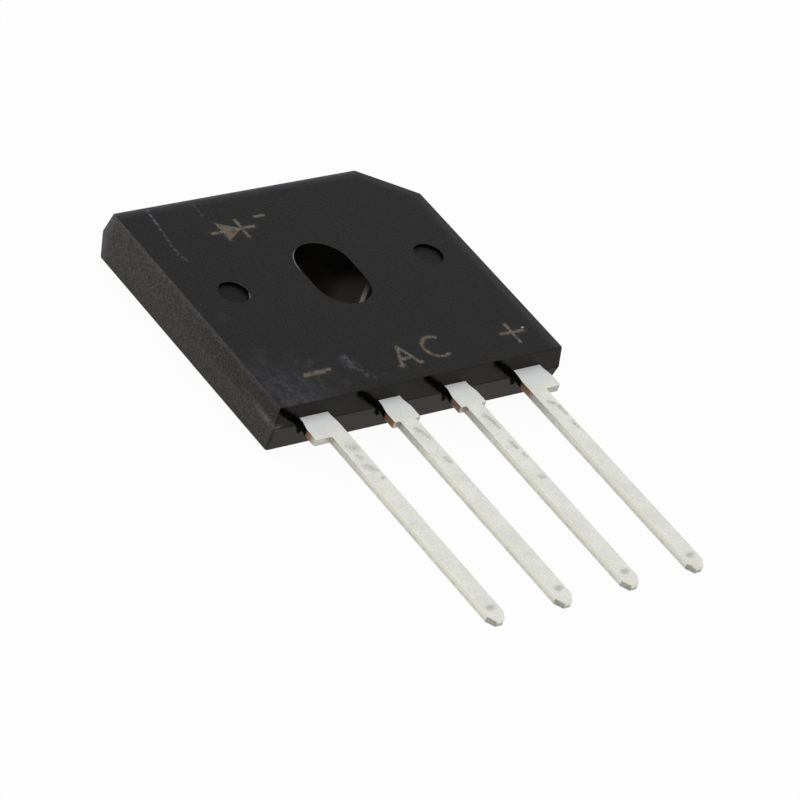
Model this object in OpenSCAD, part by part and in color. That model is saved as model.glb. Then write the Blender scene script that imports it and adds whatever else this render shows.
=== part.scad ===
// Single-in-line bridge rectifier in a flat moulded package.
// It lies on its back: +Z points out of the marked face, the leads point
// along -Y, and the origin is the middle of the screw slot on the back face.

/* [Body] */
// Width of the moulding at its parting line, across the four leads
body_w = 22.0; // [21.8:0.05:22.3]
// Height of the moulding at its parting line, along the leads
body_l = 18.65; // [18.3:0.05:18.8]
// Thickness of the moulding, from the back face to the marked face
body_t = 3.35; // [3.3:0.01:3.5]
// Height of the parting line above the back face
parting_z = 1.9; // [1.8:0.05:2.0]
// Corner cut off at 45 degrees beside the positive lead
chamfer = 3.2; // [2.8:0.1:3.4]
// Draft of the upper mould half, in degrees
draft_upper = 8; // [4:0.5:10]
// Draft of the lower mould half, in degrees
draft_lower = 8; // [4:0.5:10]
// Radius of the upright corners
corner_r = 0.15; // [0.1:0.05:0.3]
// Radius where the sides turn into the two faces
rim_r = 0.12; // [0.06:0.02:0.16]

/* [Screw slot] */
// Width of the slot
slot_w = 3.8; // [3.5:0.05:4.0]
// Length of the slot, from end to end
slot_len = 5.7; // [5.3:0.05:5.8]
// Distance from the far edge of the body to the centre of the far end arc
slot_from_far_edge = 7.65; // [7.4:0.05:7.9]

/* [Ejector marks] */
// Diameter of the two round ejector marks
mark_d = 1.95; // [1.6:0.05:2.1]
// Depth of the ejector marks
mark_depth = 0.18; // [0.1:0.01:0.2]
// Distance of each ejector mark from the middle line
mark_x = 7.5; // [7:0.1:8]

/* [Leads] */
// Distance between the centre lines of neighbouring leads
lead_pitch = 5.08; // [4.95:0.01:5.15]
// Thickness of the lead frame sheet
lead_t = 0.5; // [0.46:0.01:0.56]
// Width of the long plain part of each lead
lead_w = 1.2; // [1.02:0.01:1.27]
// Length of the leads, from the parting line of the body to the tip
lead_len = 18.0; // [17.5:0.05:18.1]
// Width of a lead where it leaves the body
exit_w = 1.65; // [1.5:0.01:1.7]
// Width across the dam-bar stubs of the two middle leads
stub_w = 1.98; // [1.85:0.01:2.16]
// Width of the shoulder on each of the two outer leads
shoulder_w = 2.38; // [2.2:0.01:2.54]
// Length of the stubs and shoulders, from the parting line of the body
stub_len = 1.9; // [1.6:0.01:2.03]
// Length of the shoulder on the positive lead
plus_shoulder_len = 1.9; // [1.6:0.01:2.2]
// Radius of the outer corner of a shoulder
shoulder_r = 0.15; // [0.1:0.05:0.4]
// Width of the blunt end of each lead
tip_w = 0.5; // [0.3:0.05:0.7]
// Length of the two corner cuts at each lead end
tip_len = 0.55; // [0.3:0.05:0.8]

/* [Lead frame inside the body] */
// Least moulding left between the metal and the outer faces
cover = 0.9; // [0.8:0.05:1.0]
// Gap between neighbouring pieces of the lead frame
frame_gap = 0.6; // [0.5:0.05:0.7]
// Width of the strip that runs past the slot to the far pad
strip_w = 1.1; // [0.9:0.05:1.2]
// Distance from the lead side of the body to the two wide pads
pad_start = 2.4; // [2.2:0.1:2.6]
// Diameter of the holes in the pads that lock them in the moulding
lock_hole_d = 1.3; // [1:0.1:1.5]

/* [Diode chips] */
// Side of each square diode chip
chip_side = 3.0; // [2.6:0.1:3.2]
// Thickness of each diode chip
chip_t = 0.25; // [0.2:0.01:0.27]
// Thickness of each solder layer
solder_t = 0.08; // [0.05:0.01:0.09]
// Distance of the two near chips from the lead side of the body
chip_near_y = 5.4; // [5.2:0.1:5.5]
// Distance of the two far chips from the lead side of the body
chip_far_y = 14.3; // [14.1:0.1:14.4]

/* [Connecting clips] */
// Thickness of the clips
clip_t = 0.25; // [0.2:0.01:0.27]
// Width of a clip's arm and foot
clip_w = 1.4; // [1.2:0.05:1.5]
// Side of the square head that is soldered to a chip
clip_head = 2.2; // [2.0:0.05:2.4]
// Length of a clip's foot
clip_foot = 1.1; // [0.9:0.05:1.2]
// Distance between each clip's arm and the centre of its chip, along the leads
clip_step = 0.6; // [0.4:0.05:0.7]

/* [Hidden] */
$fn = 48;
tiny = 0.01;             // thickness of the slices that the body is blended from
reach = 1;               // how far a cutter runs past what it cuts
root = 0.4;              // how far a lead's outline runs on into its pad
rim_steps = 3;           // slices that round each rim of the body

slot_end_r = slot_w / 2;
slot_far_y = body_l - slot_from_far_edge;             // centre of the far end arc
slot_near_y = slot_far_y - (slot_len - slot_w);       // centre of the near end arc
slot_mid_y = (slot_far_y + slot_near_y) / 2;
lead_top = parting_z + lead_t;

// The lead frame: both wide pads, the near pad of the left AC lead and the
// strip and far pad of the right AC lead share these edges.
side_keep = slot_end_r + cover;                       // inner edge beside the slot
strip_out = side_keep + strip_w;                      // outer edge of the strip
pad_in = strip_out + frame_gap;                       // inner edge of a wide pad
pad_out = body_w / 2 - cover;                         // outer edge of a wide pad
chip_x = (pad_in + pad_out) / 2;                      // the chips stand in the middle of the pads
pad_end = body_l - cover - body_t * tan(draft_upper); // far edge of every pad
near_pad_end = slot_near_y - slot_end_r - cover;
near_pad_start = 1.2;
far_pad_start = slot_far_y + slot_end_r + cover;
// The corner cut keeps the same cover from the metal as the sides do.
cut_sum = body_w / 2 + body_l - chamfer
    - (cover + (body_t - parting_z) * tan(draft_upper)) * sqrt(2);

// Levels of the stack, from the lead frame up
chip_z = lead_top + solder_t;
over_chip_z = chip_z + chip_t;
clip_z = over_chip_z + solder_t;
foot_z = lead_top + solder_t;
foot_end = strip_out - 0.2;                           // outer end of the far feet
middle_foot_end = 0.5;                                // inner end of the foot from the right

// Left side of a lead is its -X side. Each lead takes a half width for each
// side at the exit and at the stub, measured from its own centre line.
flare_start = 0.25;      // where the lead starts to widen outside the body
flare_end = 0.95;        // where it reaches the width of its stub
narrow_exit = 0.5;       // half width of an outer lead's inner side at the exit

// ---- Places ----

// Everything is drawn with y = 0 at the lead side of the body, then moved so
// that the origin lies in the middle of the slot.
module in_frame() {
    translate([0, -slot_mid_y, 0]) children();
}

function chip_place(side, far) = [side * chip_x, far ? chip_far_y : chip_near_y];
function arm_y(far) = far ? chip_far_y + clip_step : chip_near_y - clip_step;
// Where a clip's foot ends, measured along X
function foot_tip(side, far) =
    far ? side * (foot_end - clip_foot) : (side < 0 ? -foot_end + clip_foot : -middle_foot_end - clip_foot);

// ---- Moulded body ----

// Outline of the body at its parting line
module body_outline() {
    polygon([
        [-body_w / 2, 0],
        [body_w / 2, 0],
        [body_w / 2, body_l - chamfer],
        [body_w / 2 - chamfer, body_l],
        [-body_w / 2, body_l]
    ]);
}

// A thin slice of the body, drawn in from the parting line by inset
module body_slice(inset) {
    linear_extrude(tiny)
        offset(r = corner_r, $fn = 32)
            offset(delta = -corner_r - inset)
                body_outline();
}

// One mould half, standing on z = 0, with a drafted side and a rounded rim
module mould_half(height, draft) {
    foot = (height - rim_r) * tan(draft);
    hull() {
        body_slice(0);
        for (i = [0 : rim_steps]) {
            a = 90 * i / rim_steps;
            translate([0, 0, height - rim_r + rim_r * sin(a) - tiny])
                body_slice(foot + rim_r * (1 - cos(a)));
        }
    }
}

module body_shell() {
    translate([0, 0, parting_z]) mould_half(body_t - parting_z, draft_upper);
    translate([0, 0, parting_z]) mirror([0, 0, 1]) mould_half(parting_z, draft_lower);
}

module slot_cut() {
    translate([0, 0, -reach]) {
        translate([0, slot_near_y, 0]) cylinder(d = slot_w, h = body_t + 2 * reach);
        translate([0, slot_far_y, 0]) cylinder(d = slot_w, h = body_t + 2 * reach);
        translate([-slot_w / 2, slot_near_y, 0])
            cube([slot_w, slot_far_y - slot_near_y, body_t + 2 * reach]);
    }
}

module ejector_marks() {
    for (side = [-1, 1])
        translate([side * mark_x, slot_mid_y, body_t - mark_depth])
            cylinder(d = mark_d, h = mark_depth + reach);
}

module moulded_body() {
    color([0.17, 0.17, 0.17]) in_frame() difference() {
        body_shell();
        slot_cut();
        ejector_marks();
        minus_frame();
        ac_left_frame();
        ac_right_frame();
        plus_frame();
        for (side = [-1, 1], far = [false, true]) {
            chip_stack(side, far);
            clip(side, far);
            foot_solder(side, far);
        }
    }
}

// ---- Leads ----

// Points down one side of a lead, from inside the body to the tip, for the
// half widths at the exit and at the stub. inner is where the lead starts.
function lead_side(exit, stub, stub_l, inner, r) = concat(
    [[exit, inner], [exit, -flare_start], [stub, -flare_end]],
    stub > lead_w / 2 + tiny
        ? concat(
            [for (i = [0 : 4]) [stub - r + r * cos(90 * i / 4), -stub_l + r - r * sin(90 * i / 4)]],
            [[lead_w / 2, -stub_l]])
        : [],
    [[lead_w / 2, -lead_len + tip_len], [tip_w / 2, -lead_len]]
);

function flip_x(points) = [for (i = [len(points) - 1 : -1 : 0]) [-points[i][0], points[i][1]]];

// Outline of a lead at place number i, counted from 0 at the -X side.
// left and right each give the half widths [exit, stub].
module lead_outline(i, left, right, stub_l, inner, r) {
    translate([(i - 1.5) * lead_pitch, 0])
        polygon(concat(
            lead_side(right[0], right[1], stub_l, inner, r),
            flip_x(lead_side(left[0], left[1], stub_l, inner, r))
        ));
}

plain_side = [narrow_exit, lead_w / 2];
stub_side = [exit_w / 2, stub_w / 2];
shoulder_side = [shoulder_w - lead_w / 2 - 0.15, shoulder_w - lead_w / 2];
stub_r = 0.08;           // corner radius of the middle leads' stubs

// Each outline that makes up one piece of the lead frame, cut from the sheet
module frame_sheet() {
    for (i = [0 : $children - 1])
        translate([0, 0, parting_z]) linear_extrude(lead_t) children(i);
}

// A wide pad on the +X side, with its far corner cut where cut is true
module wide_pad(cut) {
    difference() {
        polygon(concat(
            [[pad_in, pad_start], [pad_out, pad_start]],
            cut ? [[pad_out, cut_sum - pad_out], [cut_sum - pad_end, pad_end]]
                : [[pad_out, pad_end]],
            [[pad_in, pad_end]]
        ));
        translate([chip_x, slot_mid_y]) circle(d = lock_hole_d);
    }
}

module minus_frame() {
    frame_sheet() {
        lead_outline(0, shoulder_side, plain_side, stub_len, pad_start + root, shoulder_r);
        mirror([1, 0]) wide_pad(false);
    }
}

module plus_frame() {
    frame_sheet() {
        lead_outline(3, plain_side, shoulder_side, plus_shoulder_len, pad_start + root, shoulder_r);
        wide_pad(true);
    }
}

module ac_left_frame() {
    frame_sheet() {
        lead_outline(1, stub_side, stub_side, stub_len, near_pad_start + root, stub_r);
        translate([-strip_out, near_pad_start])
            square([strip_out - middle_foot_end + 0.2, near_pad_end - near_pad_start]);
    }
}

module ac_right_frame() {
    frame_sheet() {
        lead_outline(2, stub_side, stub_side, stub_len, near_pad_start + root, stub_r);
        translate([lead_pitch / 2 - exit_w / 2, near_pad_start])
            square([strip_out - lead_pitch / 2 + exit_w / 2, exit_w]);
        translate([side_keep, near_pad_start])
            square([strip_w, far_pad_start - near_pad_start + root]);
        translate([-strip_out, far_pad_start])
            square([2 * strip_out, pad_end - far_pad_start]);
    }
}

module lead_minus() { color([0.8, 0.8, 0.78]) in_frame() minus_frame(); }
module lead_ac_left() { color([0.8, 0.8, 0.78]) in_frame() ac_left_frame(); }
module lead_ac_right() { color([0.8, 0.8, 0.78]) in_frame() ac_right_frame(); }
module lead_plus() { color([0.8, 0.8, 0.78]) in_frame() plus_frame(); }

// ---- Diode chips and their solder ----

// A square plate on the chip centre, for the chips and the solder round them
module plate(side, far, size, z, t) {
    translate(concat(chip_place(side, far) - [size / 2, size / 2], z))
        cube([size, size, t]);
}

module chip(side, far) { plate(side, far, chip_side, chip_z, chip_t); }
module under_solder(side, far) { plate(side, far, chip_side, lead_top, solder_t); }
module over_solder(side, far) { plate(side, far, clip_head, over_chip_z, solder_t); }

module chip_stack(side, far) {
    under_solder(side, far);
    chip(side, far);
    over_solder(side, far);
}

// ---- Connecting clips ----

// A strip from x = a to x = b on a clip's arm line
module arm_strip(a, b, far, z, t) {
    translate([min(a, b), arm_y(far) - clip_w / 2, z]) cube([abs(b - a), clip_w, t]);
}

// The foot lies on its pad. Its outer end is where the arm steps down.
function foot_step(side, far) = foot_tip(side, far) + side * clip_foot;

module clip(side, far) {
    head_x = chip_place(side, far)[0];
    plate(side, far, clip_head, clip_z, clip_t);
    arm_strip(head_x, foot_step(side, far) - side * clip_t, far, clip_z, clip_t);
    arm_strip(foot_step(side, far), foot_step(side, far) - side * clip_t, far, foot_z, clip_z - foot_z + clip_t);
    arm_strip(foot_step(side, far), foot_tip(side, far), far, foot_z, clip_t);
}

module foot_solder(side, far) {
    arm_strip(foot_step(side, far), foot_tip(side, far), far, lead_top, solder_t);
}

module chip_node(side, far) { color([0.35, 0.38, 0.42]) in_frame() chip(side, far); }
module clip_node(side, far) { color([0.72, 0.45, 0.3]) in_frame() clip(side, far); }
module under_node(side, far) { color([0.6, 0.6, 0.58]) in_frame() under_solder(side, far); }
module over_node(side, far) { color([0.6, 0.6, 0.58]) in_frame() over_solder(side, far); }
module foot_node(side, far) { color([0.6, 0.6, 0.58]) in_frame() foot_solder(side, far); }

moulded_body();
lead_minus();
lead_ac_left();
lead_ac_right();
lead_plus();
chip_node(-1, false);  // chip_minus_near
chip_node(-1, true);  // chip_minus_far
chip_node(1, false);  // chip_plus_near
chip_node(1, true);  // chip_plus_far
clip_node(-1, false);  // clip_minus_near
clip_node(-1, true);  // clip_minus_far
clip_node(1, false);  // clip_plus_near
clip_node(1, true);  // clip_plus_far
under_node(-1, false);  // solder_under_minus_near
under_node(-1, true);  // solder_under_minus_far
under_node(1, false);  // solder_under_plus_near
under_node(1, true);  // solder_under_plus_far
over_node(-1, false);  // solder_over_minus_near
over_node(-1, true);  // solder_over_minus_far
over_node(1, false);  // solder_over_plus_near
over_node(1, true);  // solder_over_plus_far
foot_node(-1, false);  // solder_foot_minus_near
foot_node(-1, true);  // solder_foot_minus_far
foot_node(1, false);  // solder_foot_plus_near
foot_node(1, true);  // solder_foot_plus_far
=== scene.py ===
"""Dresses a slotted single-in-line bridge rectifier.

It has a black epoxy moulding, flat tinned leads, and chips, clips and solder inside. The CAD
nodes keep their shapes: they get finishes, and the leads softened edges. A plain studio is
built round them.
"""

import math

import bmesh
import bpy
from mathutils import Matrix, Vector


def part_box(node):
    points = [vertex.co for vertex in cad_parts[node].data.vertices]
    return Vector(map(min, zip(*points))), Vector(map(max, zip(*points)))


bl_info = {
    "name": "Bridge Rectifier Finishes",
    "version": (1, 0, 0),
    "blender": (4, 5, 0),
    "location": "3D View > Sidebar > Rectifier",
    "description": "Finishes for a moulded bridge rectifier with flat leads, and a plain studio",
    "category": "Object",
}

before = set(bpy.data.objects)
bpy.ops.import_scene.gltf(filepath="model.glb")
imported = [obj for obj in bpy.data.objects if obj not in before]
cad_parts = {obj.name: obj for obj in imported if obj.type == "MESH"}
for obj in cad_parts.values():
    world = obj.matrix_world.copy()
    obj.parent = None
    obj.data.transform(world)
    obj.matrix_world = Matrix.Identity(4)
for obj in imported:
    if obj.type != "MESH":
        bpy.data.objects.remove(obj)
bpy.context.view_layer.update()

MM = 0.001
BODY = "moulded_body"
LEADS = ("lead_minus", "lead_ac_left", "lead_ac_right", "lead_plus")
BODY_LOW, BODY_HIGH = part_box(BODY)
LEAD_BOX_LOW, LEAD_BOX_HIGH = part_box(LEADS[0])

# Places on the part, in millimetres. The part's origin is in the middle of the slot. FRONT
# counts from there, and every other y counts from the lead side of the moulding, as it does in
# the finishes.
FRONT = BODY_LOW[1] / MM           # the lead side of the moulding
BODY_TOP = BODY_HIGH[2] / MM
LEAD_HIGH = LEAD_BOX_HIGH[2] / MM
LEAD_LOW = LEAD_BOX_LOW[2] / MM
LEAD_END = LEAD_BOX_LOW[1] / MM - FRONT
PARTING = LEAD_LOW                 # the two mould halves meet at the underside of the leads
FACE_HALF = 10.3                   # half the width of the marked face
FACE_NEAR = 0.45
FACE_FAR = 18.1
FACE_CUT = 25.55                   # x + y along the cut corner
SLOT_MIDDLE = -FRONT
SLOT_RUN = 0.95                    # from the middle of the slot to the centre of each end arc
EJECTOR_X = -7.5                   # middle of the left ejector mark, level with the slot
EJECTOR_RADIUS = 0.99


# ---------------------------------------------------------------- shader maths


class Wire:
    """One output of a material's nodes. Arithmetic on it adds Math nodes."""

    def __init__(self, graph, socket):
        self.graph = graph
        self.socket = socket

    def __add__(self, other):
        return self.graph.math("ADD", self, other)

    def __radd__(self, other):
        return self.graph.math("ADD", other, self)

    def __sub__(self, other):
        return self.graph.math("SUBTRACT", self, other)

    def __rsub__(self, other):
        return self.graph.math("SUBTRACT", other, self)

    def __mul__(self, other):
        return self.graph.math("MULTIPLY", self, other)

    def __rmul__(self, other):
        return self.graph.math("MULTIPLY", other, self)

    def __truediv__(self, other):
        return self.graph.math("DIVIDE", self, other)

    def __rtruediv__(self, other):
        return self.graph.math("DIVIDE", other, self)

    def __abs__(self):
        return self.graph.math("ABSOLUTE", self)


class Graph:
    """The nodes of one material or world, and short ways to add to them."""

    def __init__(self, owner):
        owner.use_nodes = True
        self.tree = owner.node_tree
        self.tree.nodes.clear()

    def node(self, kind, settings=None, inputs=None, output=0):
        """Adds one node: first its settings, then the values or links of its sockets."""
        node = self.tree.nodes.new(kind)
        for name, value in (settings or {}).items():
            setattr(node, name, value)
        for name, value in (inputs or {}).items():
            socket = node.inputs[name]
            if isinstance(value, Wire):
                self.tree.links.new(value.socket, socket)
            elif getattr(socket, "type", "") == "RGBA":
                socket.default_value = (*value[:3], 1.0)
            else:
                socket.default_value = value
        if not node.outputs:
            return None
        return Wire(self, node.outputs[output])

    def math(self, operation, first, second=0.0, clamp=False):
        settings = {"operation": operation, "use_clamp": clamp}
        return self.node("ShaderNodeMath", settings, {0: first, 1: second})

    def vector(self, operation, first, second=(0.0, 0.0, 0.0)):
        settings = {"operation": operation}
        output = "Value" if operation in ("DOT_PRODUCT", "LENGTH", "DISTANCE") else "Vector"
        return self.node("ShaderNodeVectorMath", settings, {0: first, 1: second}, output)

    def scale(self, vector, amount):
        inputs = {0: vector, "Scale": amount}
        return self.node("ShaderNodeVectorMath", {"operation": "SCALE"}, inputs)

    def clamped(self, value):
        """The value, held between 0 and 1."""
        return self.math("ADD", value, 0.0, clamp=True)

    def least(self, values):
        """The smallest of several values."""
        smallest = values[0]
        for value in values[1:]:
            smallest = self.math("MINIMUM", smallest, value)
        return smallest

    def most(self, values):
        """The largest of several values."""
        largest = values[0]
        for value in values[1:]:
            largest = self.math("MAXIMUM", largest, value)
        return largest

    def fade(self, value, low, high):
        """0 at low, 1 at high, with a soft step between. low may be the larger of the two."""
        settings = {"interpolation_type": "SMOOTHSTEP", "clamp": True}
        inputs = {0: value, 1: low, 2: high, 3: 0.0, 4: 1.0}
        return self.node("ShaderNodeMapRange", settings, inputs)

    def split(self, vector):
        """The three values of a vector."""
        parts = self.node("ShaderNodeSeparateXYZ", None, {0: vector}).socket.node
        return [Wire(self, socket) for socket in parts.outputs]

    def place(self):
        """Where the surface is, in millimetres, with y from the lead side of the moulding."""
        spot = self.node("ShaderNodeTexCoord", output="Object")
        grown = self.scale(spot, 1.0 / MM)
        return self.vector("SUBTRACT", grown, (0.0, FRONT, 0.0))

    def facing(self):
        """The way the surface faces, as three values."""
        return self.split(self.node("ShaderNodeNewGeometry", output="Normal"))

    def noise(self, place, size, detail=2.0, roughness=0.5, stretch=(1.0, 1.0, 1.0)):
        """Cloudy variation of about the given size in millimetres, from 0 to 1."""
        if stretch != (1.0, 1.0, 1.0):
            place = self.vector("MULTIPLY", place, stretch)
        inputs = {"Vector": place, "Scale": 1.0 / size, "Detail": detail, "Roughness": roughness}
        return self.node("ShaderNodeTexNoise", None, inputs)

    def cells(self, place, size):
        """Distance to the nearest of many scattered points, for specks."""
        return self.node("ShaderNodeTexVoronoi", None, {"Vector": place, "Scale": 1.0 / size})

    def blend(self, amount, first, second):
        """first where amount is 0, second where it is 1. Both are colours."""
        inputs = {0: amount, 6: first, 7: second}        # 6, 7 and 2 are its colour sockets
        return self.node("ShaderNodeMix", {"data_type": "RGBA"}, inputs, 2)

    def bump(self, height, strength, depth):
        """A Bump node for a height from 0 to 1, depth in millimetres."""
        inputs = {"Height": height, "Strength": strength, "Distance": depth * MM}
        return self.node("ShaderNodeBump", None, inputs)

    def principled(self, inputs):
        return self.node("ShaderNodeBsdfPrincipled", None, inputs)

    def matt(self, colour):
        return self.node("ShaderNodeBsdfDiffuse", None, {"Color": colour})

    def cover(self, amount, under, over):
        """One shader over another, by the given amount."""
        return self.node("ShaderNodeMixShader", None, {0: amount, 1: under, 2: over})

    def shown(self):
        """1 for rays that show or mirror the surroundings, 0 for those that only light the part."""
        path = self.node("ShaderNodeLightPath").socket.node
        names = ("Is Camera Ray", "Is Glossy Ray", "Is Transmission Ray")
        return self.most([Wire(self, path.outputs[name]) for name in names])

    def surface(self, shader):
        self.node("ShaderNodeOutputMaterial", None, {"Surface": shader})


def new_finish(name):
    material = bpy.data.materials.new(name)
    return material, Graph(material)


def shade(colour, factor):
    """The same colour, darker or lighter by a factor."""
    return tuple(min(1.0, value * factor) for value in colour)


def line_gap(graph, flat_place, start, end):
    """Distance in millimetres to the line from start to end, seen from above."""
    span = Vector((end[0] - start[0], end[1] - start[1], 0.0))
    away = graph.vector("SUBTRACT", flat_place, (start[0], start[1], 0.0))
    if span.length < 1e-6:
        return graph.vector("LENGTH", away)
    along = graph.clamped(graph.vector("DOT_PRODUCT", away, span / span.length_squared))
    return graph.vector("DISTANCE", away, graph.scale(tuple(span), along))


def spot_gap(graph, flat_place, middle):
    """Distance in millimetres to a point, seen from above."""
    return line_gap(graph, flat_place, middle, middle)


def arc_gap(graph, flat_place, centre, radius, opening):
    """Distance to a round arc whose opening, in degrees to each side, faces +X."""
    away = graph.vector("SUBTRACT", flat_place, (centre[0], centre[1], 0.0))
    ring = abs(graph.vector("LENGTH", away) - radius)
    x, y, _ = graph.split(away)
    turn = math.radians(opening)
    inside = abs(y) * math.cos(turn) - x * math.sin(turn)
    cut = graph.fade(inside, 0.06, -0.02)
    return ring + cut * 5.0


def wedge_gap(graph, x, y, base, point, middle, half):
    """Distance to a filled wedge that points along +X from x = base to x = point."""
    run = point - base
    slope = math.hypot(half, run)
    slant = ((x - base) * half + abs(y - middle) * run) / slope - half * run / slope
    return graph.most([slant, base - x, 0.0]) + 0.04


def lead_shadows(graph, x, z):
    """1 on the painted shadows that run up and to the left from each lead's left corner."""
    spot = graph.node("ShaderNodeCombineXYZ", None, {0: x, 1: z, 2: 0.0})
    wobble = (graph.noise(spot, 0.32, 2.0, 0.6) - 0.5) * 0.24
    wobble = wobble + (graph.noise(spot, 0.12, 2.0, 0.7) - 0.5) * 0.42
    spread = graph.fade(z, 2.2, BODY_TOP) * 0.06
    found = []
    for left in LEFT_EDGES:
        high = line_gap(graph, spot, (left - 0.10, 2.18), (left - 1.60, BODY_TOP - 0.08))
        low = line_gap(graph, spot, (left - 0.02, 2.0), (left + 0.42, 1.25))
        found.append(graph.fade(high + wobble, spread + 0.30, 0.17 - spread))
        found.append(graph.fade(low + wobble, 0.22, 0.10))
    return graph.most(found) * 0.95


# ------------------------------------------------------------------- settings


def tint(name, description, default):
    """A colour that the user can change."""
    return bpy.props.FloatVectorProperty(
        name=name,
        description=description,
        subtype="COLOR",
        size=3,
        min=0.0,
        max=1.0,
        default=default,
    )


class MouldingLook(bpy.types.PropertyGroup):
    face_colour: tint(
        "Marked face",
        "Colour of the epoxy on the two flat faces",
        (0.0045, 0.0045, 0.0055),
    )
    side_colour: tint(
        "Sides",
        "Colour of the epoxy on the coarse drafted sides",
        (0.056, 0.051, 0.046),
    )
    far_side_colour: tint(
        "Far sides",
        "Colour of the sides away from the leads, where they are greyer",
        (0.0585, 0.056, 0.053),
    )
    front_colour: tint(
        "Lead side",
        "Colour of the epoxy on the lower half of the lead side",
        (0.0222, 0.0193, 0.0140),
    )
    mark_colour: tint("Marking", "Colour of the burnt-in polarity marks", (0.18, 0.14, 0.10))
    pale_mark_colour: tint(
        "Pale marking",
        "Colour of the marks where they are burnt in lightly",
        (0.19, 0.18, 0.155),
    )
    # Scuffs, scratches and dust; the same colour paints the highlights on the slot's rim and the
    # ejector mark
    dust_and_highlight_colour: tint("Scuffs", "Colour of scuffs, scratches and dust", (0.20, 0.20, 0.22))
    stroke: bpy.props.FloatProperty(
        name="Mark line",
        description="Width of the lines of the polarity marks",
        unit="LENGTH",
        default=0.20 * MM,
    )
    grain: bpy.props.FloatProperty(
        name="Side grain",
        description="Size of the grain on the drafted sides",
        unit="LENGTH",
        default=0.14 * MM,
    )


class LeadLook(bpy.types.PropertyGroup):
    tin_colour: tint("Tin", "Colour of the tin plate", (0.71, 0.715, 0.67))
    edge_colour: tint(
        "Sheared edges",
        "Colour of the thinly plated sheared edges",
        (0.74, 0.735, 0.66),
    )
    burnished_colour: tint(
        "Burnished edges",
        "Colour of the upper half of the sheared edges, which the punch burnished",
        (0.78, 0.77, 0.68),
    )
    copper_colour: tint(
        "Bare copper",
        "Colour of the cut copper beside the moulding",
        (0.30, 0.165, 0.09),
    )
    stain_colour: tint("Stains", "Colour of the grey stains on the plate", (0.33, 0.33, 0.31))
    edge: bpy.props.FloatProperty(
        name="Edge",
        description="Softness of the stamped edges",
        unit="LENGTH",
        default=0.035 * MM,
    )


class InnerLook(bpy.types.PropertyGroup):
    silicon_colour: tint("Chips", "Colour of the diode chips", (0.10, 0.11, 0.13))
    clip_colour: tint("Clips", "Colour of the copper clips", (0.72, 0.36, 0.20))
    solder_colour: tint("Solder", "Colour of the solder layers", (0.42, 0.42, 0.40))


class StudioLook(bpy.types.PropertyGroup):
    floor_colour: tint("Floor", "Colour of the floor", (0.85, 0.85, 0.85))
    fill: bpy.props.FloatProperty(
        name="Fill",
        description="Strength of the even light from all round",
        min=0.0,
        default=0.75,
    )
    key: bpy.props.FloatProperty(
        name="Key",
        description="Power of the large lamp overhead",
        min=0.0,
        default=0.35,
    )
    azimuth: bpy.props.FloatProperty(
        name="Camera azimuth",
        description="Turn of the camera round the part",
        subtype="ANGLE",
        default=math.radians(-49.455),
    )
    elevation: bpy.props.FloatProperty(
        name="Camera elevation",
        description="Height of the camera above the floor, as an angle",
        subtype="ANGLE",
        default=math.radians(35.842),
    )
    roll: bpy.props.FloatProperty(
        name="Camera roll",
        description="Tilt of the camera about its own axis",
        subtype="ANGLE",
        default=math.radians(-21.827),
    )
    distance: bpy.props.FloatProperty(
        name="Camera distance",
        description="Distance from the camera to the point that it looks at",
        unit="LENGTH",
        default=259.9 * MM,
    )
    lens: bpy.props.FloatProperty(
        name="Lens",
        description="Focal length of the camera, in millimetres, on a 36 mm sensor",
        default=198.55,
    )


SETTINGS = (
    ("moulding_look", MouldingLook),
    ("lead_look", LeadLook),
    ("inner_look", InnerLook),
    ("studio_look", StudioLook),
)


# --------------------------------------------------------------------- finishes

JOIN_WITHIN = 0.0005 * MM           # corners this close to each other are one corner
FLAT_WITHIN = math.radians(0.5)     # facets that turn less than this are one face
SHARP_OVER = math.radians(50.0)     # edges that turn more than this are softened


def dress(node, material, edge=0.0):
    """Gives a node its finish, and softens its sharp edges where edge isn't 0."""
    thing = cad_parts[node]
    if not thing.material_slots:
        thing.data.materials.append(material)
    for slot in thing.material_slots:
        slot.material = material
    if edge > 0.0:
        # The faces come apart from each other, so they are joined before an edge can be softened
        joined = thing.modifiers.new("joined_faces", "WELD")
        joined.merge_threshold = JOIN_WITHIN
        merged = thing.modifiers.new("merged_facets", "DECIMATE")
        merged.decimate_type = "DISSOLVE"
        merged.angle_limit = FLAT_WITHIN
        soft = thing.modifiers.new("soft_edges", "BEVEL")
        soft.width = edge
        soft.segments = 2
        soft.limit_method = "ANGLE"
        soft.angle_limit = SHARP_OVER
        soft.use_clamp_overlap = False


def dress_group(start, material):
    """Gives the same finish to every node whose name begins with start."""
    found = [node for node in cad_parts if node.startswith(start)]
    if not found:
        raise RuntimeError("no node's name begins with " + start)
    for node in found:
        dress(node, material)


# Colours of small places on the moulding
SCORCHED = (0.038, 0.023, 0.015)        # browned epoxy beside the marks
FLECK = (0.45, 0.45, 0.42)
RIDGE_HIGHLIGHT = (0.185, 0.178, 0.170)           # painted highlight on the ridge at the left end of the parting line
LIT_WALL = (0.0082, 0.0060, 0.0022)     # painted light on the slot's wall towards the leads
SLOT_HIGHLIGHT = (0.34, 0.32, 0.30)              # a painted highlight, a strip on that wall
# Matt near-black, painted as shade beside the leads, along the parting line and on the walls of the
# slot and the round marks
MATT_SHADE_BLACK = (0.0012, 0.0011, 0.0010)

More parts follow.
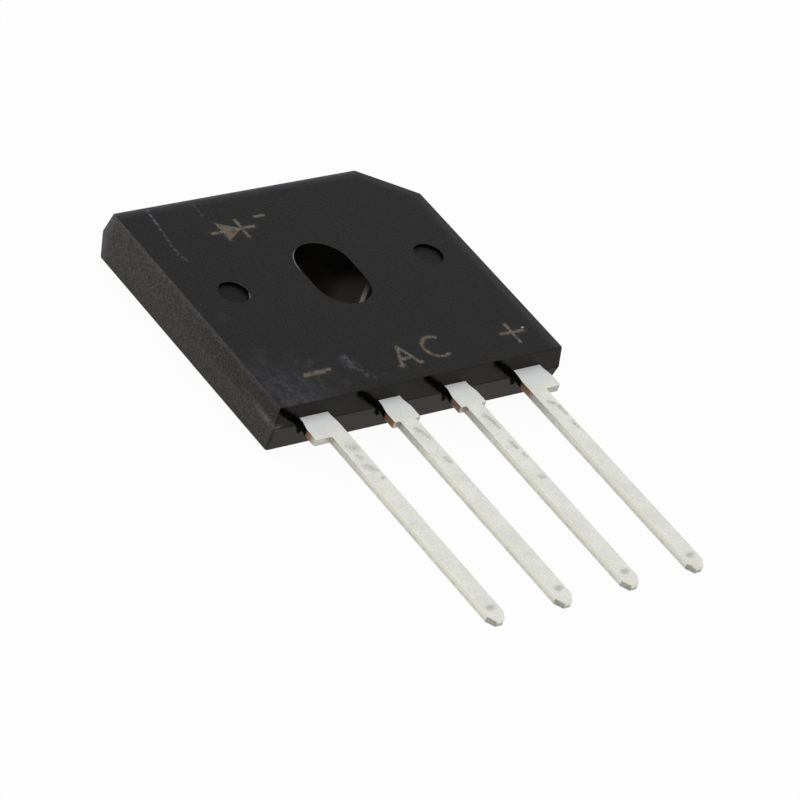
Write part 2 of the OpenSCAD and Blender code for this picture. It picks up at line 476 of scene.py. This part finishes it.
# Lines of the marks on the face, in millimetres from the middle line and from the lead side
MINUS_MARK = (((-7.60, 2.31), (-6.20, 2.32)), ((-7.55, 2.41), (-5.70, 2.44)))
LETTER_A = (
    ((-0.86, 1.48), (-0.17, 3.08)),
    ((-0.17, 3.08), (0.50, 1.48)),
    ((-0.62, 2.02), (0.28, 2.02)),
    ((-0.60, 1.90), (-0.30, 1.96)),
    ((-1.00, 1.48), (-0.76, 1.48)),
    ((0.42, 1.48), (0.66, 1.48)),
)
PLUS_MARK = (((7.42, 2.28), (9.15, 2.26)), ((8.26, 1.36), (8.27, 2.98)))
LETTER_C = ((2.42, 2.42), 0.88, 48.0)

# A diode sign at the far left of the face: its wires and bar, then its filled wedge
DIODE_LINES = (
    ((-5.55, 15.2), (-4.6, 15.2)),
    ((-3.35, 14.4), (-3.35, 16.0)),
    ((-3.35, 15.2), (-2.45, 15.2)),
)
DIODE_WEDGE = (-4.75, -3.5, 15.2, 0.72)
SHORT_DASH = (((-1.85, 15.98), (-1.15, 15.98)),)

# Where the left edge of each lead leaves the moulding
LEFT_EDGES = (-9.25, -3.37, 1.71, 7.12)

# A pale fleck on the plus sign
FLECK_LINE = ((9.24, 2.46), (9.32, 2.48))

# Scratches: start, end, half width and strength
SCRATCHES = (
    ((-8.45, 18.15), (-8.62, 16.8), 0.10, 0.9),
    ((-8.62, 16.8), (-8.85, 14.9), 0.07, 0.75),
    ((-8.85, 14.9), (-8.9, 14.0), 0.09, 0.7),
    ((-8.9, 14.0), (-8.68, 13.4), 0.10, 0.6),
    ((-5.15, 18.1), (-5.18, 16.9), 0.09, 0.3),
    ((-4.05, 3.1), (-4.1, 2.3), 0.26, 0.70),
    ((-3.85, 2.4), (-3.6, 1.4), 0.24, 0.45),
    ((-4.45, 3.0), (-4.35, 2.2), 0.22, 0.25),
    ((-3.45, 1.6), (-3.3, 0.9), 0.20, 0.22),
)

# Soft pale patches: middle, radius and strength
PATCHES = (
    ((-10.2, 1.5), 0.45, 0.35),
    ((-8.9, 0.6), 0.55, 0.45),
    ((-8.6, 1.5), 0.30, 0.30),
    ((-9.5, 3.85), 0.28, 0.35),
    ((-6.5, 3.3), 0.40, 0.22),
    ((-7.6, 0.7), 0.45, 0.32),
    ((-5.3, 2.95), 0.25, 0.22),
    ((-5.3, 1.2), 0.30, 0.20),
    ((-2.35, 1.15), 0.22, 0.28),
    ((-9.5, 8.3), 0.45, 0.16),
    ((-7.4, 3.6), 0.25, 0.15),
    ((-4.2, 2.6), 0.60, 0.22),
    ((-6.9, 2.9), 0.35, 0.28),
    ((-8.0, 2.6), 0.40, 0.24),
)


# The haze of fine scuffs is thickest here, at the left corner of the lead side
HAZE_MIDDLE = (-10.2, 0.6)


def mark_gap(graph, flat_place, x, y):
    """Distance to the nearest line of the marks."""
    lines = MINUS_MARK + LETTER_A + PLUS_MARK + DIODE_LINES + SHORT_DASH
    gaps = [line_gap(graph, flat_place, start, end) for start, end in lines]
    gaps.append(arc_gap(graph, flat_place, *LETTER_C))
    gaps.append(wedge_gap(graph, x, y, *DIODE_WEDGE))
    return graph.least(gaps)


def scuffs(graph, flat_place, ragged):
    """Specks, scratches, pale patches and the haze at the left corner."""
    found = [graph.fade(graph.cells(flat_place, 1.1), 0.055, 0.02) * 0.35]
    broken = graph.fade(graph.noise(flat_place, 0.30, 3.0, 0.7), 0.40, 0.60)
    for start, end, width, strength in SCRATCHES:
        gap = line_gap(graph, flat_place, start, end) + ragged * 1.5
        found.append(graph.fade(gap, width * 1.7, width * 0.1) * broken * strength)
    dusty = graph.fade(graph.noise(flat_place, 0.42, 4.0, 0.7), 0.34, 0.68)
    for middle, radius, strength in PATCHES:
        gap = spot_gap(graph, flat_place, middle)
        found.append(graph.fade(gap, radius * 1.5, 0.0) * dusty * strength)
    streaked = graph.noise(flat_place, 0.55, 4.0, 0.7, stretch=(1.0, 0.35, 1.0))
    streaked = graph.fade(streaked, 0.36, 0.66)
    clump = graph.fade(graph.noise(flat_place, 1.1, 3.0, 0.7), 0.44, 0.62)
    near = graph.fade(spot_gap(graph, flat_place, HAZE_MIDDLE), 5.8, 0.3)
    found.append(near * (0.04 + streaked * 0.76 + clump * 0.78) * 0.26)
    return graph.most(found)


def moulding_finish(look):
    """Black filled epoxy: fine on the faces, coarse on the sides, with burnt-in marks and wear."""
    material, graph = new_finish("moulded_epoxy")
    place = graph.place()
    x, y, z = graph.split(place)
    _, facing_y, facing_z = graph.facing()
    flat_place = graph.vector("MULTIPLY", place, (1.0, 1.0, 0.0))

    # Where on the moulding: marked face, back, lead side, or within the outline
    face = graph.fade(facing_z, 0.90, 0.985)
    under = graph.fade(facing_z, -0.90, -0.985)
    front = graph.fade(facing_y, -0.20, -0.50)
    sunk = graph.fade(abs(x), FACE_HALF + 0.05, FACE_HALF - 0.05)
    sunk = sunk * graph.fade(y, FACE_NEAR - 0.05, FACE_NEAR + 0.05)
    sunk = sunk * graph.fade(y, FACE_FAR + 0.05, FACE_FAR - 0.05)
    sunk = sunk * graph.fade(x + y, FACE_CUT + 0.05, FACE_CUT - 0.05)
    smooth = graph.most([face, under, front, sunk])
    coarse = 1.0 - smooth

    # Variation of the epoxy itself
    cloud = graph.noise(place, 3.0, 3.0, 0.55)
    fine = graph.noise(place, 0.13, 3.0, 0.65)
    specks = graph.noise(place, look.grain / MM, 2.0, 0.6)
    even = graph.fade(fine, 0.36, 0.66) * 0.75 + cloud * 0.25
    face_tone = graph.blend(even, (0.0, 0.0, 0.0), shade(look.face_colour, 1.95))
    side = graph.blend(graph.fade(y, 5.0, 16.0), look.side_colour, look.far_side_colour)
    side_tone = graph.scale(side, graph.fade(specks, 0.30, 0.72) * 0.80 + 0.66)
    # The upper half of the sides is painted darker towards the leads, in the face's colour, as
    # shade
    upper_half = graph.fade(z, PARTING - 0.05, PARTING + 0.05)
    shaded_half = upper_half * graph.fade(y, 14.0, 0.0) * 0.32
    side_tone = graph.blend(shaded_half, side_tone, look.face_colour)
    tone = graph.blend(coarse, face_tone, side_tone)
    lower_front = front * graph.fade(z, PARTING + 0.03, PARTING - 0.03)
    tone = graph.blend(lower_front * (0.75 + specks * 0.5), tone, look.front_colour)
    upper_front = graph.fade(facing_y, -0.03, -0.22)
    upper_front = upper_front * graph.fade(z, PARTING + 0.05, PARTING + 0.15)
    tone = graph.blend(upper_front * 0.40, tone, look.front_colour)

    # Parting line: a painted thin shadow across the front, and a painted highlight, broken up,
    # along the ridge round the left corner
    seam = graph.fade(abs(z - PARTING), 0.055, 0.02) * (1.0 - sunk)
    slanted = z - PARTING - graph.most([y, 0.0]) * 0.07
    ridge_highlight = graph.fade(abs(slanted - 0.10), 0.34, 0.04) * graph.fade(y, 3.8, 0.6)
    crumbs = graph.fade(graph.noise(place, 0.30, 3.0, 0.7), 0.36, 0.62)
    ridge_highlight = ridge_highlight * graph.fade(x, -10.3, -10.8) * (0.25 + crumbs * 0.85)

    # Polarity marks, slightly broken up as a laser leaves them
    ragged = (graph.noise(flat_place, 0.16, 3.0, 0.7) - 0.5) * 0.26
    gap = mark_gap(graph, flat_place, x, y) + ragged
    half = look.stroke / MM / 2.0
    mark = graph.fade(gap, half + 0.07, half - 0.06) * face
    burnt = graph.fade(graph.noise(flat_place, 0.38, 3.0, 0.65), 0.36, 0.64) * 0.62
    burnt = burnt + graph.fade(graph.noise(flat_place, 0.13, 2.0, 0.7), 0.42, 0.64) * 0.36
    burnt = graph.clamped(mark * (burnt + 0.24))
    scorched = graph.fade(gap, half + 0.32, half) * face * graph.fade(cloud, 0.35, 0.60)
    pale = graph.fade(graph.noise(flat_place, 0.8, 2.0, 0.6), 0.35, 0.65)
    ink = graph.blend(pale, look.mark_colour, look.pale_mark_colour)

    # Scuffs, pale borders of the face, and rubbed rims along the left side, the far side and
    # the cut corner
    worn = scuffs(graph, flat_place, ragged) * face
    border = graph.most([
        graph.fade(x, 9.8, 10.6),
        graph.fade(y, 17.6, 18.3),
        graph.fade(x + y, 24.8, 25.9),
    ])
    border = border * 0.15 + graph.fade(y, 18.10, 18.35) * 0.32
    border = border * face * (0.3 + fine * 0.9)
    rim = graph.fade(z, BODY_TOP - 0.40, BODY_TOP - 0.12) * (1.0 - face) * (1.0 - sunk)
    rim = rim * graph.fade(y, 0.0, 1.6)
    patchy = graph.fade(graph.noise(place, 0.22, 2.0, 0.6), 0.50, 0.70)
    far_corner = coarse * graph.fade(y, 17.6, 18.3) * graph.fade(x, -10.0, -10.6)
    rubbed = graph.most([rim * (0.28 + patchy * 0.40), far_corner])

    colour = graph.blend(worn * 0.6, tone, look.dust_and_highlight_colour)
    colour = graph.blend(graph.most([border, rubbed * 0.30]), colour, look.dust_and_highlight_colour)
    colour = graph.blend(ridge_highlight * 0.56, colour, RIDGE_HIGHLIGHT)
    colour = graph.blend(scorched * 0.5, colour, SCORCHED)
    colour = graph.blend(burnt, colour, ink)
    fleck = graph.fade(line_gap(graph, flat_place, *FLECK_LINE), 0.09, 0.03) * face
    colour = graph.blend(fleck, colour, FLECK)

    # The slot's walls: painted matt and black as shade, with painted light, lighter and browner, at
    # the end towards the leads
    slot_ends = ((0.0, SLOT_MIDDLE - SLOT_RUN), (0.0, SLOT_MIDDLE + SLOT_RUN))
    slot_gap = line_gap(graph, flat_place, *slot_ends)
    walls = graph.fade(slot_gap, 2.06, 1.97) * (1.0 - face) * sunk
    lit_end = walls * graph.fade(z + y * 0.83, 11.7, 10.2) * graph.fade(x, 0.8, 1.3)
    lit_end = lit_end * graph.fade(y, 8.2, 8.5) * graph.fade(y, 12.8, 10.6)
    colour = graph.blend(lit_end, colour, LIT_WALL)
    # A painted highlight: a bright vertical strip on the slot's wall near the leads
    slot_highlight = walls * graph.fade(abs(y - 8.70), 0.28, 0.16) * graph.fade(x, 1.1, 1.3)
    slot_highlight = slot_highlight * graph.fade(z, 3.2, 1.9)
    colour = graph.blend(slot_highlight, colour, SLOT_HIGHLIGHT)
    # A painted highlight along the slot's far left rim, in the scuff colour
    rim_highlight = graph.fade(abs(slot_gap - 1.92), 0.07, 0.02) * graph.fade(x, -0.9, -1.6)
    rim_highlight = rim_highlight * graph.fade(y, 10.6, 11.2) * graph.fade(z, BODY_TOP - 0.25, BODY_TOP - 0.10)
    colour = graph.blend(rim_highlight * 0.8, colour, look.dust_and_highlight_colour)

    # A painted highlight on a bit of edge of the left ejector mark
    ring_gap = spot_gap(graph, flat_place, (EJECTOR_X, SLOT_MIDDLE)) - EJECTOR_RADIUS
    ejector_highlight = graph.fade(abs(ring_gap), 0.07, 0.02) * graph.fade(x - EJECTOR_X, 0.55, 0.80)
    ejector_highlight = ejector_highlight * graph.fade(y - SLOT_MIDDLE, -0.15, -0.40)
    ejector_highlight = ejector_highlight * graph.fade(z, BODY_TOP - 0.2, BODY_TOP)
    colour = graph.blend(ejector_highlight * 0.6, colour, look.dust_and_highlight_colour)

    # Matt black painted as shade: the shadows beside each lead, the parting line's thin shadow, and
    # the walls of the slot and of the round marks; the floors of the round marks are dulled a
    # little
    shadow_beside_leads = lead_shadows(graph, x, z) * graph.fade(facing_y, -0.15, -0.5) * (1.0 - sunk)
    floors = sunk * face * graph.fade(z, BODY_TOP - 0.03, BODY_TOP - 0.12)
    floors = floors * (0.07 + graph.fade(x, 0.0, -1.0) * 0.13)
    dull_and_shade = graph.most([shadow_beside_leads, seam * front * 0.45, sunk * (1.0 - face) * 0.82, floors])
    dull_and_shade = dull_and_shade * (1.0 - graph.most([lit_end * 0.78, slot_highlight, rim_highlight, ejector_highlight]))

    rough = 0.40 + fine * 0.12 + coarse * 0.28 + worn * 0.25 + burnt * 0.25
    height = fine * 0.70 * smooth + specks * coarse
    epoxy = graph.principled({
        "Base Color": colour,
        "Roughness": graph.clamped(rough),
        "Specular IOR Level": 0.13,
        "Normal": graph.bump(height, 0.6, 0.05),
    })
    graph.surface(graph.cover(dull_and_shade, epoxy, graph.matt(MATT_SHADE_BLACK)))
    return material


# Stains on the leads' upper faces: start, end and half width, in millimetres
STAINS = (
    ((-7.70, -2.98), (-7.45, -3.15), 0.30),
    ((-7.75, -3.75), (-7.6, -3.95), 0.18),
    ((-7.65, -4.75), (-7.45, -5.0), 0.26),
    ((-7.3, -5.1), (-7.25, -5.2), 0.14),
    ((-7.33, -5.83), (-7.25, -5.8), 0.13),
    ((-2.6, -2.75), (-2.4, -3.1), 0.15),
    ((-2.4, -3.1), (-2.2, -3.65), 0.14),
    ((-2.35, -5.5), (-2.28, -5.75), 0.19),
    ((2.55, -2.9), (2.75, -3.3), 0.17),
    ((2.75, -3.3), (2.8, -4.1), 0.13),
    ((2.75, -5.5), (2.75, -5.9), 0.16),
    ((2.85, -6.5), (2.85, -6.8), 0.11),
    ((2.65, -8.55), (2.85, -8.55), 0.12),
    ((7.6, -3.0), (7.8, -3.2), 0.15),
    ((7.95, -3.5), (8.0, -4.2), 0.12),
    ((7.92, -4.9), (7.97, -5.5), 0.11),
)

# Middles of the small pressed marks near the leads' ends
PRESSED = ((-7.65, -16.95), (-2.45, -16.85), (2.6, -16.9), (7.65, -16.95))

# Colours of small places on the leads
FRESH_PLATE = (0.80, 0.835, 0.825)   # whiter plate beside the moulding
SHEAR_SHADE = (0.30, 0.29, 0.25)     # the lower half of a sheared edge
TORN_DARK = (0.30, 0.28, 0.235)      # torn metal on the cut ends
TORN_PALE = (0.50, 0.48, 0.42)
NEAR_BLACK = (0.004, 0.003, 0.0025)        # the sheared edges where they leave the moulding


def lead_finish(look):
    """Tin plate over copper: bright faces, dull sheared edges, bare copper by the moulding."""
    material, graph = new_finish("tinned_copper")
    place = graph.place()
    x, y, z = graph.split(place)
    facing_x, facing_y, facing_z = graph.facing()
    flat_place = graph.vector("MULTIPLY", place, (1.0, 1.0, 0.0))
    flat = graph.fade(abs(facing_z), 0.55, 0.9)
    sheared = 1.0 - flat
    top = flat * graph.fade(facing_z, 0.0, 0.5)
    past_first = graph.fade(x, -6.0, -5.0)      # 0 on the leftmost lead, 1 on the others

    # Plate: soft clouding and fine drawn lines along the lead
    cloud = graph.noise(place, 1.3, 3.0, 0.6)
    drawn = graph.noise(place, 0.10, 2.0, 0.5, stretch=(1.0, 0.12, 1.0))
    peel = graph.noise(place, 0.16, 3.0, 0.7)
    tin = graph.blend(
        graph.fade(cloud * 0.40 + peel * 0.60, 0.36, 0.64),
        shade(look.tin_colour, 0.91),
        shade(look.tin_colour, 1.08),
    )
    edge = graph.blend(
        graph.fade(graph.noise(place, 0.5, 3.0, 0.6), 0.3, 0.7),
        shade(look.edge_colour, 0.82),
        look.edge_colour,
    )
    # The upper half of each sheared edge is burnished and creamier, away from the moulding
    burnished = graph.fade(z, LEAD_LOW + 0.20, LEAD_LOW + 0.32) * graph.fade(y, -3.5, -6.5)
    edge = graph.blend(burnished, edge, look.burnished_colour)
    lower = graph.fade(z, LEAD_LOW + 0.26, LEAD_LOW + 0.16)
    edge = graph.blend(lower * 0.10, edge, SHEAR_SHADE)
    colour = graph.blend(sheared, tin, edge)
    fresh = graph.fade(y, -1.7, -0.7) * flat
    colour = graph.blend(fresh, colour, FRESH_PLATE)

    # Grey stains and the small pressed marks
    wander = (graph.noise(flat_place, 0.55, 4.0, 0.7) - 0.5) * 0.42
    mottle = 0.35 + graph.fade(graph.noise(flat_place, 0.22, 3.0, 0.7), 0.34, 0.62) * 0.65
    stains = []
    for start, end, width in STAINS:
        gap = line_gap(graph, flat_place, start, end) + wander
        stains.append(graph.fade(gap, width * 1.9, width * -0.3))
    stain = graph.most(stains) * mottle * top
    dents = []
    for across, along in PRESSED:
        left = (across - 0.13, along - 0.02)
        right = (across + 0.13, along + 0.03)
        dents.append(line_gap(graph, flat_place, left, right))
    dent = graph.fade(graph.least(dents) + wander * 0.35, 0.32, 0.02) * top
    colour = graph.blend(stain * 0.68, colour, look.stain_colour)
    colour = graph.blend(dent * 0.6, colour, look.stain_colour)

    # Sheared edges are painted darker as shade close to the moulding, and on the leads to the right
    edge_shade = graph.fade(y, -5.6, -2.1) * (0.35 + past_first * 0.28)
    edge_shade = (edge_shade + graph.fade(x, -6.0, 6.0) * 0.12) * sheared
    colour = graph.blend(edge_shade, colour, shade(look.edge_colour, 0.5))

    # Bare copper on the cut dam-bar stubs, and matt near-black on the sheared edges where they meet
    # the moulding
    sideways = graph.fade(abs(facing_x), 0.5, 0.8)
    stub = graph.fade(y + past_first * 0.44, -1.85, -1.25) * sideways
    bare = stub * graph.fade(graph.noise(place, 0.5, 2.0, 0.6), 0.10, 0.45)
    colour = graph.blend(bare * 0.95, colour, look.copper_colour)
    black_by_moulding = graph.fade(y, -1.15, -0.85) * sheared

    # Cut ends: torn and grey, except for a bright burnished strip along the top
    cut_end = graph.fade(y, LEAD_END + 0.75, LEAD_END + 0.5) * sheared
    smeared = graph.noise(place, 0.25, 2.0, 0.6) * 0.24
    smeared = smeared + graph.fade(facing_y, -0.80, -0.95) * 0.16
    cut_end = cut_end * graph.fade(facing_y, -0.1, -0.35)
    cut_end = cut_end * graph.fade(z + smeared, LEAD_HIGH + 0.08, LEAD_HIGH - 0.06)
    cut_end = cut_end * (1.0 - graph.fade(facing_y, -0.85, -0.98) * 0.45)
    torn = graph.blend(graph.fade(peel, 0.35, 0.65), TORN_DARK, TORN_PALE)
    colour = graph.blend(cut_end, colour, torn)

    rough = 0.34 + cloud * 0.10 + sheared * 0.08 + stain * 0.25 + cut_end * 0.2
    height = drawn * 0.35 + cloud * 0.3 + peel * 0.5 - dent
    tin_plate = graph.principled({
        "Base Color": colour,
        "Metallic": 1.0 - fresh * 0.92,
        "Roughness": rough + fresh * 0.20,
        "Normal": graph.bump(height, 0.35, 0.03),
    })
    graph.surface(graph.cover(black_by_moulding * 0.95, tin_plate, graph.matt(NEAR_BLACK)))
    return material


def chip_finish(look):
    """Polished silicon with a faint blue-grey cast."""
    material, graph = new_finish("silicon_chip")
    cloud = graph.noise(graph.place(), 0.9, 2.0, 0.5)
    dark = shade(look.silicon_colour, 0.8)
    light = shade(look.silicon_colour, 1.3)
    graph.surface(graph.principled({
        "Base Color": graph.blend(cloud, dark, light),
        "Metallic": 0.4,
        "Roughness": 0.2 + cloud * 0.1,
    }))
    return material


def metal_finish(name, base, rough, size):
    """Plain metal with soft clouding, for the copper clips and the solder."""
    material, graph = new_finish(name)
    cloud = graph.noise(graph.place(), size, 4.0, 0.6)
    graph.surface(graph.principled({
        "Base Color": graph.blend(cloud, shade(base, 0.7), shade(base, 1.15)),
        "Metallic": 1.0,
        "Roughness": rough + cloud * 0.15,
        "Normal": graph.bump(cloud, 0.3, 0.02),
    }))
    return material


# -------------------------------------------------------------------- operators


class RECTIFIER_OT_moulding(bpy.types.Operator):
    """Give the moulding its epoxy finish, marks and wear"""

    bl_idname = "rectifier.moulding"
    bl_label = "Dress Moulding"

    def execute(self, context):
        look = context.scene.moulding_look
        dress(BODY, moulding_finish(look))
        return {"FINISHED"}


class RECTIFIER_OT_leads(bpy.types.Operator):
    """Give the four leads their tin plate, cut edges and stains"""

    bl_idname = "rectifier.leads"
    bl_label = "Dress Leads"

    def execute(self, context):
        look = context.scene.lead_look
        material = lead_finish(look)
        for node in LEADS:
            dress(node, material, look.edge)
        return {"FINISHED"}


class RECTIFIER_OT_chips(bpy.types.Operator):
    """Give the diode chips inside the moulding their finish"""

    bl_idname = "rectifier.chips"
    bl_label = "Dress Chips"

    def execute(self, context):
        dress_group("chip_", chip_finish(context.scene.inner_look))
        return {"FINISHED"}


class RECTIFIER_OT_clips(bpy.types.Operator):
    """Give the copper clips over the chips their finish"""

    bl_idname = "rectifier.clips"
    bl_label = "Dress Clips"

    def execute(self, context):
        look = context.scene.inner_look
        dress_group("clip_", metal_finish("copper_clip", look.clip_colour, 0.28, 0.8))
        return {"FINISHED"}


class RECTIFIER_OT_solder(bpy.types.Operator):
    """Give the solder layers their finish"""

    bl_idname = "rectifier.solder"
    bl_label = "Dress Solder"

    def execute(self, context):
        look = context.scene.inner_look
        dress_group("solder_", metal_finish("grey_solder", look.solder_colour, 0.42, 0.4))
        return {"FINISHED"}


# ----------------------------------------------------------------------- studio

WHITE = (1.0, 1.0, 1.0)
FLOOR_GAP = 0.02 * MM                # the floor lies this far under the part
FLOOR_HALF = 1.5                     # half the floor's width, in metres
KEY_PLACE = (-0.25, 0.30, 0.55)
KEY_TARGET = (0.0, -0.009, 0.0)
KEY_SIZE = 0.5
LOOK_AT = Vector((-1.017, 0.536 + FRONT, 1.5)) * MM
SENSOR = 36.0


def build_floor(look):
    """A wide floor just under the part, which shows as white with a faint shadow."""
    grid = bmesh.new()
    bmesh.ops.create_grid(grid, x_segments=1, y_segments=1, size=FLOOR_HALF)
    mesh = bpy.data.meshes.new("floor")
    grid.to_mesh(mesh)
    grid.free()
    floor = bpy.data.objects.new("floor", mesh)
    floor.location = (0.0, 0.0, BODY_LOW[2] - FLOOR_GAP)
    bpy.context.collection.objects.link(floor)
    material, graph = new_finish("floor")
    white = graph.node("ShaderNodeEmission", None, {"Color": WHITE, "Strength": 1.0})
    graph.surface(graph.cover(graph.shown() * 0.95, graph.matt(look.floor_colour), white))
    mesh.materials.append(material)


def build_world(look):
    """White where it is seen or mirrored, and an even soft light on the part."""
    world = bpy.data.worlds.new("studio")
    bpy.context.scene.world = world
    graph = Graph(world)
    strength = look.fill + graph.shown() * (1.0 - look.fill)
    sky = graph.node("ShaderNodeBackground", None, {"Color": WHITE, "Strength": strength})
    graph.node("ShaderNodeOutputWorld", None, {"Surface": sky})


def build_key(look):
    """One large round lamp overhead, behind the part."""
    lamp = bpy.data.lights.new("key", "AREA")
    lamp.shape = "DISK"
    lamp.size = KEY_SIZE
    lamp.energy = look.key
    holder = bpy.data.objects.new("key", lamp)
    aim = Vector(KEY_TARGET) - Vector(KEY_PLACE)
    holder.location = KEY_PLACE
    holder.rotation_euler = aim.to_track_quat("-Z", "Y").to_euler()
    bpy.context.collection.objects.link(holder)


def build_camera(look):
    """A long lens above the leads' end, turned about its own axis by the roll."""
    a, e, r = look.azimuth, look.elevation, look.roll
    back = Vector((math.sin(a) * math.cos(e), -math.cos(a) * math.cos(e), math.sin(e)))
    level = Vector((math.cos(a), math.sin(a), 0.0))
    upright = back.cross(level)
    right = level * math.cos(r) - upright * math.sin(r)
    up = level * math.sin(r) + upright * math.cos(r)
    camera = bpy.data.cameras.new("camera")
    camera.lens = look.lens
    camera.sensor_width = SENSOR
    camera.clip_start = 0.01
    camera.clip_end = 20.0
    holder = bpy.data.objects.new("camera", camera)
    turn = Matrix((right, up, back)).transposed().to_4x4()
    holder.matrix_world = Matrix.Translation(LOOK_AT + back * look.distance) @ turn
    bpy.context.collection.objects.link(holder)
    bpy.context.scene.camera = holder


class RECTIFIER_OT_studio(bpy.types.Operator):
    """Build the floor, the world, the lamp and the camera"""

    bl_idname = "rectifier.studio"
    bl_label = "Build Studio"

    def execute(self, context):
        look = context.scene.studio_look
        build_floor(look)
        build_world(look)
        build_key(look)
        build_camera(look)
        context.scene.view_settings.view_transform = "Standard"
        return {"FINISHED"}


class RECTIFIER_PT_panel(bpy.types.Panel):
    bl_idname = "RECTIFIER_PT_panel"
    bl_label = "Bridge Rectifier"
    bl_space_type = "VIEW_3D"
    bl_region_type = "UI"
    bl_category = "Rectifier"

    def draw(self, context):
        for operator in OPERATORS:
            self.layout.operator(operator.bl_idname)
        for name, group in SETTINGS:
            box = self.layout.box()
            look = getattr(context.scene, name)
            for field in group.__annotations__:
                box.prop(look, field)


OPERATORS = (
    RECTIFIER_OT_moulding,
    RECTIFIER_OT_leads,
    RECTIFIER_OT_chips,
    RECTIFIER_OT_clips,
    RECTIFIER_OT_solder,
    RECTIFIER_OT_studio,
)


def register():
    for name, group in SETTINGS:
        bpy.utils.register_class(group)
        setattr(bpy.types.Scene, name, bpy.props.PointerProperty(type=group))
    for operator in OPERATORS:
        bpy.utils.register_class(operator)
    bpy.utils.register_class(RECTIFIER_PT_panel)


def unregister():
    bpy.utils.unregister_class(RECTIFIER_PT_panel)
    for operator in reversed(OPERATORS):
        bpy.utils.unregister_class(operator)
    for name, group in reversed(SETTINGS):
        delattr(bpy.types.Scene, name)
        bpy.utils.unregister_class(group)


def main():
    register()
    bpy.ops.rectifier.moulding()
    bpy.ops.rectifier.leads()
    bpy.ops.rectifier.chips()
    bpy.ops.rectifier.clips()
    bpy.ops.rectifier.solder()
    bpy.ops.rectifier.studio()


if __name__ == "__main__":
    main()
